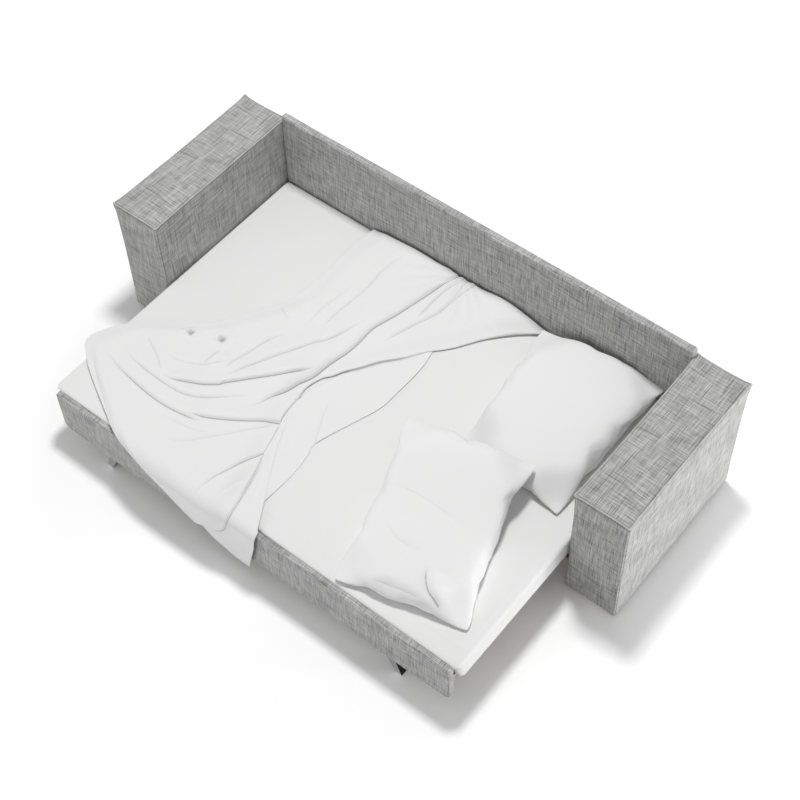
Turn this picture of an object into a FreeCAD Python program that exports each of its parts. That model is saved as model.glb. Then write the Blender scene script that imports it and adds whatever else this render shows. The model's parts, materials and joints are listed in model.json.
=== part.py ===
import FreeCAD, Part
import os
from math import cos, pi

# Sofa bed, pulled out, with its bedding on. Millimetres, +X to the sitter's left, +Y to the back, +Z up.
# The origin is on the floor, under the middle of the whole outline.

V = FreeCAD.Vector

# Whole piece
overall_width = 2480.0
arm_width = 230.0
arm_depth = 790.0
arm_height = 645.0
back_above_arms = 37.0
floor_gap = 20.0
rail_reach = 670.0
flap_depth = 42.0
seat_gap = 0.3
overrun = 5.0

# Arms: a timber ring inside a padded slip cover
arm_cover_wall = 18.0
arm_edge_radius = 12.0
arm_board = 22.0
arm_glide_radius = 25.0
arm_glide_inset = 80.0

# Back panel
panel_thickness = 34.0
panel_bottom = 60.0
panel_cover_wall = 8.0
panel_edge_radius = 6.0
band_height = 40.0
band_radius = 14.0

# Slats and the beams that carry them
slat_under = 193.0
slat_thickness = 12.0
slat_width = 86.0
slat_side_gap = 32.0
front_slat_count = 10
beam_height = 65.0
beam_end_height = 30.0
beam_thickness = 25.0
fixed_beam_setback = 30.0
rear_beam_thickness = 28.0
beam_running_gap = 3.0
slat_overhang = 5.0
bracket_width = 40.0
bracket_plate = 3.0
screw_head_radius = 5.0
screw_head_height = 2.5

# Pull-out tube frame, its shoes and the channels in the arms
tube_radius = 12.5
tube_wall = 2.0
tube_bend_radius = 60.0
sleeve_clearance = 0.3
sleeve_length = 80.0
channel_depth = 24.0
channel_height = 40.0
channel_wall = 2.5
shoe_length = 48.0
shoe_width = 24.2
shoe_clearance = 0.5
saddle_width = 44.0
saddle_plate = 4.0
saddle_count = 3

# Front rail and its legs
rail_side_gap = 31.0
rail_bottom = 82.0
rail_top = 298.0
rail_depth = 30.0
rail_wall = 6.0
rail_padding = 22.0
rail_low_corner = 30.0
rail_high_corner = 12.0
rail_front_edge = 6.0
rail_rear_edge = 18.0
leg_plate = 4.0
leg_plate_width = 76.0
leg_plate_depth = 27.0
leg_top_width = 41.0
leg_foot_width = 28.0
leg_depth = 33.0
leg_foot_inset = 234.0
leg_splay = 33.0
leg_setback = 2.0

# Mattress, in two halves that fold together
mattress_side_gap = 7.0
mattress_height = 105.0
mattress_crown = 8.0
mattress_fold_setback = 50.0
mattress_fold_gap = 6.0
mattress_rail_gap = 19.0
mattress_panel_gap = 3.0
mattress_top_radius = 24.0
mattress_low_radius = 14.0
mattress_front_low_radius = 38.0
mattress_side_pull = 4.0
mattress_end_inset = 20.0

# Pillows
pillow_width = 510.0
pillow_length = 690.0
pillow_height = 128.0
pillow_edge = 26.0
rear_pillow_side_gap = 63.0
rear_pillow_back_gap = 23.0
rear_pillow_turn = 3.5
front_pillow_side_gap = 136.0
front_pillow_lap = 37.0
front_pillow_turn = 15.5
front_pillow_rise = 128.0

# Duvet, thick on the bed and hanging in front of the rail
duvet_edge = 16.0
duvet_loft = 44.0
duvet_rest_gap = 0.3
flap_back_gap = 2.0
flap_edge = 10.0
flap_rise = 30.4
flap_tip = 27.0

# Places that follow from the sizes above
inner_half = overall_width / 2 - arm_width
mattress_half_width = inner_half - mattress_side_gap
rail_half_width = inner_half - rail_side_gap
slat_zone_half = inner_half - slat_side_gap
shoe_outer_x = inner_half - channel_wall - shoe_clearance
tube_half_width = shoe_outer_x - shoe_width - seat_gap - tube_radius
leg_foot_half_spacing = rail_half_width - leg_foot_inset
bed_reach = rail_reach + flap_depth
back_height = arm_height + back_above_arms
arm_front = (bed_reach - arm_depth) / 2
back_face = arm_front + arm_depth
panel_front = back_face - panel_thickness
rail_front = arm_front - rail_reach
rail_back = rail_front + rail_depth
slat_top = slat_under + slat_thickness
tube_z = slat_under - seat_gap - tube_radius
tube_y = rail_back + seat_gap + tube_radius
fixed_beam_front = arm_front + fixed_beam_setback
moving_beam_front = fixed_beam_front + beam_thickness + beam_running_gap
moving_beam_back = moving_beam_front + beam_thickness
front_slat_back = moving_beam_back + slat_overhang
mattress_bottom = slat_top + seat_gap
mattress_edge = mattress_bottom + mattress_height
mattress_top = mattress_edge + mattress_crown
fold_line = arm_front + mattress_fold_setback
bedding_bottom = mattress_top + duvet_rest_gap
flap_top = bedding_bottom + flap_rise


def box(x0, x1, y0, y1, z0, z1):
    return Part.makeBox(x1 - x0, y1 - y0, z1 - z0, V(x0, y0, z0))


def rounded(shape, radius, chosen):
    return shape.makeFillet(radius, [edge for edge in shape.Edges if chosen(edge)])


def above(height):
    return lambda edge: edge.BoundBox.ZMax > height


def mirrored(shape):
    return shape.mirror(V(0, 0, 0), V(1, 0, 0))


def pair(right, name):
    save("right_" + name, right)
    save("left_" + name, mirrored(right))


def save(name, shape):
    shape.exportStep("parts/" + name + ".step")


def cylinder(radius, height, base, direction):
    return Part.makeCylinder(radius, height, base, direction)


# Arms

def arm_cover():
    outer_x = overall_width / 2
    shell = box(inner_half, outer_x, arm_front, back_face, floor_gap, arm_height)
    shell = rounded(shell, arm_edge_radius, above(floor_gap + overrun))
    wall = arm_cover_wall
    pocket = box(inner_half + wall, outer_x - wall, arm_front + wall, back_face - wall,
                 floor_gap - overrun, arm_height - wall)
    return shell.cut(pocket)


def arm_frame():
    inset = arm_cover_wall + seat_gap
    x0, x1 = inner_half + inset, overall_width / 2 - inset
    y0, y1 = arm_front + inset, back_face - inset
    top = arm_height - inset
    ring = box(x0, x1, y0, y1, floor_gap, top)
    window = box(x0 - overrun, x1 + overrun, y0 + arm_board, y1 - arm_board,
                 floor_gap + arm_board, top - arm_board)
    return ring.cut(window)


def arm_glides():
    x = inner_half + arm_width / 2
    glides = []
    for side in (-x, x):
        for y in (arm_front + arm_glide_inset, back_face - arm_glide_inset):
            glides.append(cylinder(arm_glide_radius, floor_gap, V(side, y, 0), V(0, 0, 1)))
    return Part.makeCompound(glides)


# Back panel

def back_panel_cover():
    half = inner_half - seat_gap
    top = back_height - band_height - seat_gap
    shell = box(-half, half, panel_front, back_face, panel_bottom, top)
    shell = rounded(shell, panel_edge_radius, lambda edge: edge.BoundBox.ZMin > top - overrun)
    wall = panel_cover_wall
    pocket = box(-half + wall, half - wall, panel_front + wall, back_face - wall,
                 panel_bottom - overrun, top - wall)
    return shell.cut(pocket)


def back_panel_board():
    half = inner_half - panel_cover_wall - 2 * seat_gap
    inset = panel_cover_wall + seat_gap
    top = back_height - band_height - seat_gap - inset
    return box(-half, half, panel_front + inset, back_face - inset, panel_bottom, top)


def back_top_band():
    half = inner_half - seat_gap
    band = box(-half, half, panel_front, back_face, back_height - band_height, back_height)
    return rounded(band, band_radius, lambda edge: edge.BoundBox.XLength > half)


# Fixed base between the arms

def rear_slat_beam():
    half = inner_half - seat_gap
    y1 = panel_front - seat_gap
    return box(-half, half, y1 - rear_beam_thickness, y1, slat_under - beam_height, slat_under)


def fixed_slat_beam():
    # The ends are lower, so that the side tubes of the pull-out and their bends pass over them.
    half = inner_half - seat_gap
    low = slat_under - beam_height
    y0, y1 = fixed_beam_front, fixed_beam_front + beam_thickness
    ends = box(-half, half, y0, y1, low, low + beam_end_height)
    reach = tube_half_width - tube_bend_radius
    middle = box(-reach, reach, y0, y1, low, slat_under)
    return ends.fuse(middle).removeSplitter()


def beam_brackets():
    # Angle plates under both beams, one at each end, against the arm covers.
    plates = []
    low = slat_under - beam_height - seat_gap
    rear_y = panel_front - seat_gap - rear_beam_thickness
    for y0, width in ((fixed_beam_front, beam_thickness), (rear_y, rear_beam_thickness)):
        wall = box(inner_half - bracket_plate, inner_half, y0, y0 + width, low - bracket_width, low)
        shelf = box(inner_half - bracket_width, inner_half, y0, y0 + width, low - bracket_plate, low)
        angle = wall.fuse(shelf).removeSplitter()
        plates.append(angle)
        plates.append(mirrored(angle))
    return Part.makeCompound(plates)


def bracket_screws():
    # Pan heads on the upright leg of each bracket.
    heads = []
    z = slat_under - beam_height - seat_gap - bracket_width / 2
    rear_y = panel_front - seat_gap - rear_beam_thickness / 2
    for y in (fixed_beam_front + beam_thickness / 2, rear_y):
        x = inner_half - bracket_plate
        head = cylinder(screw_head_radius, screw_head_height, V(x, y, z), V(-1, 0, 0))
        heads.append(head)
        heads.append(mirrored(head))
    return Part.makeCompound(heads)


def channel():
    z0, z1 = tube_z - channel_height / 2, tube_z + channel_height / 2
    x0 = inner_half - channel_depth
    y0, y1 = fixed_beam_front, panel_front - seat_gap - rear_beam_thickness - seat_gap
    outer = box(x0, inner_half, y0, y1, z0, z1)
    groove = box(x0 - overrun, inner_half - channel_wall, y0 - overrun, y1 + overrun,
                 z0 + channel_wall, z1 - channel_wall)
    return outer.cut(groove)


def slat_places():
    count = 2 * front_slat_count - 1
    pitch = 2 * slat_zone_half / count
    return [-slat_zone_half + pitch * (n + 1 / 2) for n in range(count)]


def slat(x, y0, y1):
    return box(x - slat_width / 2, x + slat_width / 2, y0, y1, slat_under, slat_top)


# Pull-out frame

def rail_outline(grow, low, high):
    # Upright outline of the rail: rounded lower corners, tighter upper corners.
    half = rail_half_width + grow
    rl, rh = rail_low_corner + grow, rail_high_corner
    d = 1 - cos(pi / 4)
    points = [V(-half + rl, 0, low), V(half - rl, 0, low), V(half, 0, low + rl),
              V(half, 0, high - rh), V(half - rh, 0, high), V(-half + rh, 0, high),
              V(-half, 0, high - rh), V(-half, 0, low + rl)]
    bows = [None, V(half - rl * d, 0, low + rl * d), None, V(half - rh * d, 0, high - rh * d),
            None, V(-half + rh * d, 0, high - rh * d), None, V(-half + rl * d, 0, low + rl * d)]
    edges = []
    for n, bow in enumerate(bows):
        start, end = points[n], points[(n + 1) % len(points)]
        curve = Part.Arc(start, bow, end) if bow else Part.LineSegment(start, end)
        edges.append(curve.toShape())
    return Part.Face(Part.Wire(edges))


def front_rail_cover():
    face = rail_outline(0, rail_bottom, rail_top)
    shell = face.extrude(V(0, rail_depth, 0))
    shell.translate(V(0, rail_front, 0))
    high = rail_top - seat_gap
    near_back, near_front = rail_back - seat_gap, rail_front + seat_gap
    shell = rounded(shell, rail_rear_edge, lambda e: e.BoundBox.ZMin > high and e.BoundBox.YMin > near_back)
    shell = rounded(shell, rail_front_edge, lambda e: e.BoundBox.ZMin > high and e.BoundBox.YMax < near_front)
    pocket = rail_outline(-rail_wall, rail_bottom + rail_wall, rail_top - rail_padding)
    pocket = pocket.extrude(V(0, rail_depth, 0))
    pocket.translate(V(0, rail_front + rail_wall, 0))
    return shell.cut(pocket)


def front_rail_board():
    inset = rail_wall + seat_gap
    face = rail_outline(-inset, rail_bottom + inset, rail_top - rail_padding - seat_gap)
    board = face.extrude(V(0, rail_depth - inset, 0))
    board.translate(V(0, rail_front + inset, 0))
    return board


def leg():
    # A four-sided taper that leans outwards, flat on the floor.
    top_x = leg_foot_half_spacing - leg_splay
    y0 = rail_front + leg_setback
    sections = []
    for x, width, z in ((top_x, leg_top_width, rail_bottom - leg_plate),
                        (leg_foot_half_spacing, leg_foot_width, 0)):
        half = width / 2
        corners = [V(x - half, y0, z), V(x + half, y0, z),
                   V(x + half, y0 + leg_depth, z), V(x - half, y0 + leg_depth, z)]
        sections.append(Part.makePolygon(corners + corners[:1]))
    return Part.makeLoft(sections, True, True)


def leg_mount_plate():
    x = leg_foot_half_spacing - leg_splay
    y0 = rail_front + leg_setback
    return box(x - leg_plate_width / 2, x + leg_plate_width / 2, y0, y0 + leg_plate_depth,
               rail_bottom - leg_plate, rail_bottom)


def leg_screws():
    # Two heads under each plate, either side of the leg.
    heads = []
    y = rail_front + leg_setback + leg_plate_depth / 2
    z = rail_bottom - leg_plate
    reach = (leg_plate_width + leg_top_width) / 4
    for x in (leg_foot_half_spacing - leg_splay - reach, leg_foot_half_spacing - leg_splay + reach):
        head = cylinder(screw_head_radius, screw_head_height, V(x, y, z), V(0, 0, -1))
        heads.append(head)
        heads.append(mirrored(head))
    return Part.makeCompound(heads)


def tube_run(radius):
    # A straight side run with a quarter bend at its front end.
    x, r = tube_half_width, tube_bend_radius
    run = cylinder(radius, moving_beam_back - tube_y - r, V(x, tube_y + r, tube_z), V(0, 1, 0))
    bend = Part.makeTorus(r, radius, V(x - r, tube_y + r, tube_z), V(0, 0, 1), 0, 360, 90)
    bend.rotate(V(x - r, tube_y + r, tube_z), V(0, 0, 1), -90)
    return run.fuse(bend)


def side_tube():
    return tube_run(tube_radius).cut(tube_run(tube_radius - tube_wall)).removeSplitter()


def front_tube():
    half = tube_half_width - tube_bend_radius
    base = V(-half, tube_y, tube_z)
    outer = cylinder(tube_radius, 2 * half, base, V(1, 0, 0))
    return outer.cut(cylinder(tube_radius - tube_wall, 2 * half, base, V(1, 0, 0)))


def tube_sleeves():
    # Plugs inside the front tube, just short of the bends.
    radius = tube_radius - tube_wall - sleeve_clearance
    half = tube_half_width - tube_bend_radius
    right = cylinder(radius, sleeve_length, V(half - sleeve_length, tube_y, tube_z), V(1, 0, 0))
    return Part.makeCompound([right, mirrored(right)])


def tube_saddles():
    # Shelf plates on the back of the rail board, under the front tube.
    plates = []
    top = tube_z - tube_radius - seat_gap
    reach = tube_half_width - tube_bend_radius - saddle_width
    for n in range(saddle_count):
        x = reach * (2 * n / (saddle_count - 1) - 1)
        x0, x1 = x - saddle_width / 2, x + saddle_width / 2
        shelf = box(x0, x1, rail_back, tube_y + tube_radius, top - saddle_plate, top)
        web = box(x0, x1, rail_back, rail_back + saddle_plate, top - saddle_width, top)
        plates.append(shelf.fuse(web).removeSplitter())
    return Part.makeCompound(plates)


def moving_slat_beam():
    half = tube_half_width - tube_radius - seat_gap
    top = slat_under - seat_gap
    return box(-half, half, moving_beam_front, moving_beam_back, top - 2 * tube_radius, top)


def glide_shoe():
    half_height = channel_height / 2 - channel_wall - shoe_clearance
    return box(shoe_outer_x - shoe_width, shoe_outer_x, moving_beam_back - shoe_length, moving_beam_back,
               tube_z - half_height, tube_z + half_height)


# Mattress

def mattress_section(x, y0, y1, low_front, inset):
    # One upright slice: flat below, drawn-in ends, rounded edges and a crowned top.
    y0, y1 = y0 + inset, y1 - inset
    z0, z1 = mattress_bottom + inset, mattress_edge - inset
    top, low, pull = mattress_top_radius, mattress_low_radius, mattress_side_pull
    d = 1 - cos(pi / 4)
    crown = mattress_top - z1 - inset
    points = [V(x, y0 + low_front, z0), V(x, y1 - low, z0), V(x, y1, z0 + low),
              V(x, y1, z1 - top), V(x, y1 - top, z1), V(x, y0 + top, z1),
              V(x, y0, z1 - top), V(x, y0, z0 + low_front)]
    bows = [None, V(x, y1 - low * d, z0 + low * d), V(x, y1 - pull, (z0 + low + z1 - top) / 2),
            V(x, y1 - top * d, z1 - top * d), V(x, (y0 + y1) / 2, z1 + crown),
            V(x, y0 + top * d, z1 - top * d), V(x, y0 + pull / 2, (z0 + low_front + z1 - top) / 2),
            V(x, y0 + low_front * d, z0 + low_front * d)]
    edges = []
    for n, bow in enumerate(bows):
        start, end = points[n], points[(n + 1) % len(points)]
        curve = Part.Arc(start, bow, end) if bow else Part.LineSegment(start, end)
        edges.append(curve.toShape())
    return Part.Wire(edges)


mattress_station_shares = [(-1, 1), (-0.996, 0.45), (-0.982, 0), (0, 0), (0.982, 0), (0.996, 0.45), (1, 1)]


def mattress_half(y0, y1, low_front):
    sections = []
    for along, inset in mattress_station_shares:
        x = along * mattress_half_width
        sections.append(mattress_section(x, y0, y1, low_front, inset * mattress_end_inset))
    return Part.makeLoft(sections, True, True)


def mattress_rear():
    y0 = fold_line + mattress_fold_gap / 2
    return mattress_half(y0, panel_front - mattress_panel_gap, mattress_low_radius)


def mattress_front():
    y0 = rail_back + mattress_rail_gap
    return mattress_half(y0, fold_line - mattress_fold_gap / 2, mattress_front_low_radius)


# Pillows: slices across the length, as shares of length, width and height

rear_pillow_shares = [
    (-1, 0.97, 0.05, 0), (-0.9, 0.975, 0.42, 0), (-0.7, 0.96, 0.78, 0), (-0.35, 0.945, 0.97, 0),
    (0, 0.94, 1, 0), (0.35, 0.945, 0.98, 0), (0.7, 0.965, 0.8, 0), (0.9, 0.985, 0.45, 0), (1, 1, 0.07, 0)]
front_pillow_shares = [
    (-1, 0.98, 0.05, 0), (-0.9, 0.97, 0.4, 0), (-0.7, 0.955, 0.75, 0), (-0.35, 0.94, 0.95, 0),
    (0, 0.94, 1, 0), (0.35, 0.945, 1.04, 0.12), (0.55, 0.955, 1.1, 0.5), (0.75, 0.975, 1.2, 0.9),
    (1, 1, 1.05, 1)]


def pillow_section(y, width, rise, height):
    half, low, high = width / 2, rise, rise + pillow_edge + height
    side = low + pillow_edge
    points = [V(-half, y, low), V(half, y, low), V(half, y, side), V(-half, y, side)]
    return Part.Wire([
        Part.LineSegment(points[0], points[1]).toShape(),
        Part.LineSegment(points[1], points[2]).toShape(),
        Part.Arc(points[2], V(0, y, high), points[3]).toShape(),
        Part.LineSegment(points[3], points[0]).toShape(),
    ])


def pillow(shares, rise, x, y, turn):
    sections = []
    crown = pillow_height - pillow_edge
    for along, width, high, lifted in shares:
        height = crown * high - rise * lifted * (high > 1)
        sections.append(pillow_section(along * pillow_length / 2, width * pillow_width,
                                       lifted * rise, max(height, pillow_edge / 4)))
    shape = Part.makeLoft(sections, True, True)
    shape.rotate(V(0, 0, 0), V(0, 0, 1), turn)
    shape.translate(V(x, y, bedding_bottom))
    return shape


# Duvet: slices across the bed. Each has its distance behind the arm fronts as a share of the arm depth or,
# in front, of the rail's reach, and its left and right edges as shares of the mattress half width.

duvet_rear_shares = [(0.945, -0.505, 0.36), (0.73, -0.515, 0.22), (0.5, -0.525, 0.1), (0.27, -0.545, 0.1),
                     (0.069, -0.64, 0.105)]
duvet_front_shares = [(0.058, -0.65, 0.105), (-0.1, -0.72, 0.08), (-0.25, -0.85, 0.03), (-0.4, -0.995, 0.025),
                      (-0.6, -1.055, 0.03), (-0.7, -0.985, 0.03), (-0.87, -0.81, 0.04), (-1, -0.62, 0.09)]
# Height of each fold across the bed, from the right edge to the left, as shares of the loft
fold_height_shares = [0.75, 1, 0.7, 0.95, 0.8, 1, 0.65]
# Hanging corner: height between tip and top, left and right edges, and how far each fold stands out
flap_shares = [(0, 0.01, 0.05, 0.12), (0.06, -0.075, 0.06, 0.35), (0.25, -0.185, 0.07, 0.7),
               (0.66, -0.4, 0.1, 0.9), (0.9, -0.58, 0.11, 1), (1, -0.6, 0.11, 1)]
flap_fold_shares = [0.7, 1, 0.75, 1]


def folded_wire(start, end, out, rise_shares, edge, loft):
    # A straight back edge, two short sides and a row of arcs from one side to the other.
    first, last = start + out * edge, end + out * edge
    count = len(rise_shares)
    edges = [Part.LineSegment(end, start).toShape(), Part.LineSegment(start, first).toShape()]
    for n, share in enumerate(rise_shares):
        a = first + (last - first) * (n / count)
        b = first + (last - first) * ((n + 1) / count)
        edges.append(Part.Arc(a, (a + b) * (1 / 2) + out * (loft * share), b).toShape())
    edges.append(Part.LineSegment(last, end).toShape())
    return Part.Wire(edges)


def duvet_slices(shares):
    sections = []
    up, loft = V(0, 0, 1), duvet_loft - duvet_edge
    for along, left, right in shares:
        y = arm_front + along * (arm_depth if along > 0 else rail_reach)
        start = V(right * mattress_half_width, y, bedding_bottom)
        end = V(left * mattress_half_width, y, bedding_bottom)
        sections.append(folded_wire(start, end, up, fold_height_shares, duvet_edge, loft))
    return Part.makeLoft(sections, True, True)


def duvet_rear():
    return duvet_slices(duvet_rear_shares)


def duvet_flap():
    sections = []
    thickness = flap_depth - flap_back_gap
    y = rail_front - flap_back_gap
    for rise, left, right, full in flap_shares:
        z = flap_tip + rise * (flap_top - flap_tip)
        start = V(right * mattress_half_width, y, z)
        end = V(left * mattress_half_width, y, z)
        loft = (thickness - flap_edge) * full
        sections.append(folded_wire(start, end, V(0, -1, 0), flap_fold_shares, flap_edge, loft))
    return Part.makeLoft(sections, True, True)


def duvet_front():
    top = duvet_slices(duvet_front_shares)
    _, left, right, _ = flap_shares[-1]
    lip = box(left * mattress_half_width, right * mattress_half_width,
              rail_front - flap_back_gap - flap_edge / 2, rail_front + overrun,
              bedding_bottom, bedding_bottom + duvet_edge / 2)
    return top.fuse([lip, duvet_flap()]).removeSplitter()


def main():
    os.makedirs("parts", exist_ok=True)
    pair(arm_cover(), "arm_cover")
    pair(arm_frame(), "arm_frame")
    save("arm_glides", arm_glides())
    save("back_panel_cover", back_panel_cover())
    save("back_panel_board", back_panel_board())
    save("back_top_band", back_top_band())
    save("rear_slat_beam", rear_slat_beam())
    save("fixed_slat_beam", fixed_slat_beam())
    save("beam_brackets", beam_brackets())
    save("bracket_screws", bracket_screws())
    pair(channel(), "channel")
    for n, x in enumerate(slat_places()):
        if n % 2:
            save("rear_slat_%d" % (n // 2 + 1), slat(x, fixed_beam_front, panel_front - seat_gap))
        else:
            save("front_slat_%d" % (n // 2 + 1), slat(x, rail_back + beam_running_gap, front_slat_back))
    save("front_rail_cover", front_rail_cover())
    save("front_rail_board", front_rail_board())
    pair(leg(), "front_leg")
    pair(leg_mount_plate(), "leg_plate")
    save("leg_screws", leg_screws())
    pair(side_tube(), "side_tube")
    save("front_tube", front_tube())
    save("tube_sleeves", tube_sleeves())
    save("tube_saddles", tube_saddles())
    save("moving_slat_beam", moving_slat_beam())
    pair(glide_shoe(), "glide_shoe")
    save("mattress_rear", mattress_rear())
    save("mattress_front", mattress_front())
    bed_side = mattress_half_width - pillow_width / 2
    x, y = bed_side - rear_pillow_side_gap, panel_front - rear_pillow_back_gap - pillow_length / 2
    save("pillow_rear", pillow(rear_pillow_shares, 0, x, y, rear_pillow_turn))
    x, y = bed_side - front_pillow_side_gap, y - pillow_length + front_pillow_lap
    save("pillow_front", pillow(front_pillow_shares, front_pillow_rise, x, y, front_pillow_turn))
    save("duvet_rear", duvet_rear())
    save("duvet_front", duvet_front())


main()
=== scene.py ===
import json
import math

import bmesh
import bpy
import numpy as np
from mathutils import Matrix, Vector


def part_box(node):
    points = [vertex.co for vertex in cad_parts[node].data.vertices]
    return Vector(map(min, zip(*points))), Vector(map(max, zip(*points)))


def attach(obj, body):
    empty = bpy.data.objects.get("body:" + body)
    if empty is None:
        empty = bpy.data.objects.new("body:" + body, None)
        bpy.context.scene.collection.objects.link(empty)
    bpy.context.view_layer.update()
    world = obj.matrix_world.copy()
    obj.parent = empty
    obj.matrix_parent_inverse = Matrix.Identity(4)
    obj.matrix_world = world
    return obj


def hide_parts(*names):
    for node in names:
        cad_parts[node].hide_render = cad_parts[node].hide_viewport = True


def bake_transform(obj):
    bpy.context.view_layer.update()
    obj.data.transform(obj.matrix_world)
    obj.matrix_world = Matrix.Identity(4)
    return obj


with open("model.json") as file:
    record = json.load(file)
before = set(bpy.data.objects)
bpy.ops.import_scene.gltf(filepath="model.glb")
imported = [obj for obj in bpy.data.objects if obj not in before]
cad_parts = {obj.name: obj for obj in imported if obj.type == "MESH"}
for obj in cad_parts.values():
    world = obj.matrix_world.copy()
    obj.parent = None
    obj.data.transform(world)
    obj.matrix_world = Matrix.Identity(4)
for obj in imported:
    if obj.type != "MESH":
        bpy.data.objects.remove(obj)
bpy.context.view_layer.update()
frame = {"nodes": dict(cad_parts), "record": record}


class Wire:
    # One node socket. Arithmetic on it adds Math nodes, and join() adds any other node.
    def __init__(self, tree, socket=None):
        self.tree = tree
        self.socket = socket

    def join(self, kind, settings=None, out=0, **inputs):
        # An input is named by its label, with _ for a space, or by its number after one letter, as i6.
        node = self.tree.nodes.new("ShaderNode" + kind)
        for key, value in (settings or {}).items():
            setattr(node, key, value)
        for key, value in inputs.items():
            place = int(key[1:]) if key[1:].isdigit() else key.replace("_", " ")
            self.feed(node.inputs[place], value)
        return Wire(self.tree, node.outputs[out])

    def feed(self, target, value):
        # A colour of three parts gets its fourth where the socket has four.
        if isinstance(value, Wire):
            self.tree.links.new(value.socket, target)
        elif np.isscalar(value):
            target.default_value = value
        else:
            target.default_value = (*value, 1)[:len(target.default_value)]

    def maths(self, operation, a, b=0.0, clamp=False):
        return self.join("Math", {"operation": operation, "use_clamp": clamp}, i0=a, i1=b)

    def __add__(self, other): return self.maths("ADD", self, other)
    def __radd__(self, other): return self.maths("ADD", other, self)
    def __sub__(self, other): return self.maths("SUBTRACT", self, other)
    def __rsub__(self, other): return self.maths("SUBTRACT", other, self)
    def __mul__(self, other): return self.maths("MULTIPLY", self, other)

    def clamped(self):
        return self.maths("ADD", self, 0.0, True)

    def blendColour(self, first, second):
        return self.join("Mix", {"data_type": "RGBA"}, out=2, i0=self, i6=first, i7=second)

    def ownPlace(self):
        return self.join("TexCoord", out="Object")

    def mark(self, name):
        return self.join("Attribute", {"attribute_name": name}, out="Fac")

    def noise(self, place, scale, detail=3.0, roughness=0.5):
        return self.join("TexNoise", Vector=place, Scale=scale, Detail=detail, Roughness=roughness)

    def stretched(self, place, scale):
        return self.join("Mapping", Vector=place, Scale=scale)

    def bump(self, look, height, **more):
        return self.join("Bump", Strength=look[0], Distance=look[1], Height=height, **more)


def newFinish(name):
    material = bpy.data.materials.new(name)
    material.use_nodes = True
    tree = material.node_tree
    tree.nodes.clear()
    output = tree.nodes.new("ShaderNodeOutputMaterial")
    shader = tree.nodes.new("ShaderNodeBsdfPrincipled")
    tree.links.new(shader.outputs[0], output.inputs["Surface"])
    return material, Wire(tree), shader


def setShader(wire, shader, **inputs):
    for key, value in inputs.items():
        wire.feed(shader.inputs[key.replace("_", " ")], value)


# In these looks a bump is its strength and its depth in metres. A thread is its width and the length of its
# stretches, in metres, and its share of the tone.
linenLook = {
    "darkThread": (0.120, 0.122, 0.121), "lightThread": (0.660, 0.662, 0.655),
    # The seam colours are painted shade and painted highlight for the welts and seams.
    "seamPaintedHighlight": (0.56, 0.56, 0.54), "seamPaintedShade": (0.10, 0.10, 0.10), "seamPaintedHighlightShare": 0.5, "seamPaintedShadeShare": 0.8,
    "threads": [(0.0022, 0.20, 0.30), (0.0016, 0.12, 0.42), (0.0011, 0.06, 0.28)],
    "rowJump": 731.0, "rowShifts": (0.3, 40.7), "waver": 0.0030, "waverScale": 11.0, "mottle": 6.0,
    "mottleShare": 0.20, "contrast": 1.05, "bump": (0.30, 0.0012), "reliefWidth": 0.006, "roughness": 0.92,
    "sheen": 0.15, "sheenRoughness": 0.5, "specular": 0.2,
}


def linenThreads(wire, along, across, width, length, shift):
    # The cloth is cut into rows as wide as one thread. Each row has its own random start in a one-dimensional
    # noise that runs along it, so it gets thick and thin, or light and dark, stretches of its own.
    row = wire.maths("FLOOR", across * (1 / width) + shift)
    start = wire.join("TexWhiteNoise", {"noise_dimensions": "1D"}, W=row)
    place = along * (1 / length) + start * linenLook["rowJump"]
    return wire.join("TexNoise", {"noise_dimensions": "1D"}, W=place, Detail=1.0, Roughness=0.5, Scale=1.0)


def linenFinish():
    # Slubby linen: three widths of thread in both directions of the piece's own flat cloth coordinates, in metres,
    # and a slow mottle, added up and used to mix a dark and a light thread colour. The seam mark then paints
    # shade and highlight along the welts and seams.
    look = linenLook
    material, wire, shader = newFinish("greyLinen")
    cloth = wire.join("UVMap", {"uv_map": "cloth"})
    waver = wire.noise(cloth, look["waverScale"], 1.0)
    u, v = (wire.join("SeparateXYZ", out=n, Vector=cloth) + waver * (look["waver"] * sign)
            for n, sign in enumerate((1, -1)))
    threads, relief = 0.0, 0.0
    for n, (width, length, share) in enumerate(look["threads"]):
        warp, weft = (linenThreads(wire, *way, width, length, shift + n)
                      for way, shift in zip(((u, v), (v, u)), look["rowShifts"]))
        pair = warp + weft
        threads = (pair - 1.0) * share + threads
        relief = pair * (width / look["reliefWidth"]) + relief
    mottle = wire.noise(cloth, look["mottle"], 3.0, 0.6)
    level = (threads * (2 * look["contrast"]) + (mottle - 0.5) * look["mottleShare"] + 0.5).clamped()
    body = level.blendColour(look["darkThread"], look["lightThread"])
    # Painted shade and highlight: the seam mark darkens the colour in the groove beside each welt and seam, and
    # lightens their beads.
    seam = wire.mark("seam")
    highlighted = (seam * look["seamPaintedHighlightShare"]).clamped().blendColour(body, look["seamPaintedHighlight"])
    colour = (seam * -look["seamPaintedShadeShare"]).clamped().blendColour(highlighted, look["seamPaintedShade"])
    setShader(wire, shader, Base_Color=colour, Roughness=look["roughness"], Sheen_Weight=look["sheen"],
              Sheen_Roughness=look["sheenRoughness"], Specular_IOR_Level=look["specular"],
              Normal=wire.bump(look["bump"], relief))
    return material


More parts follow.
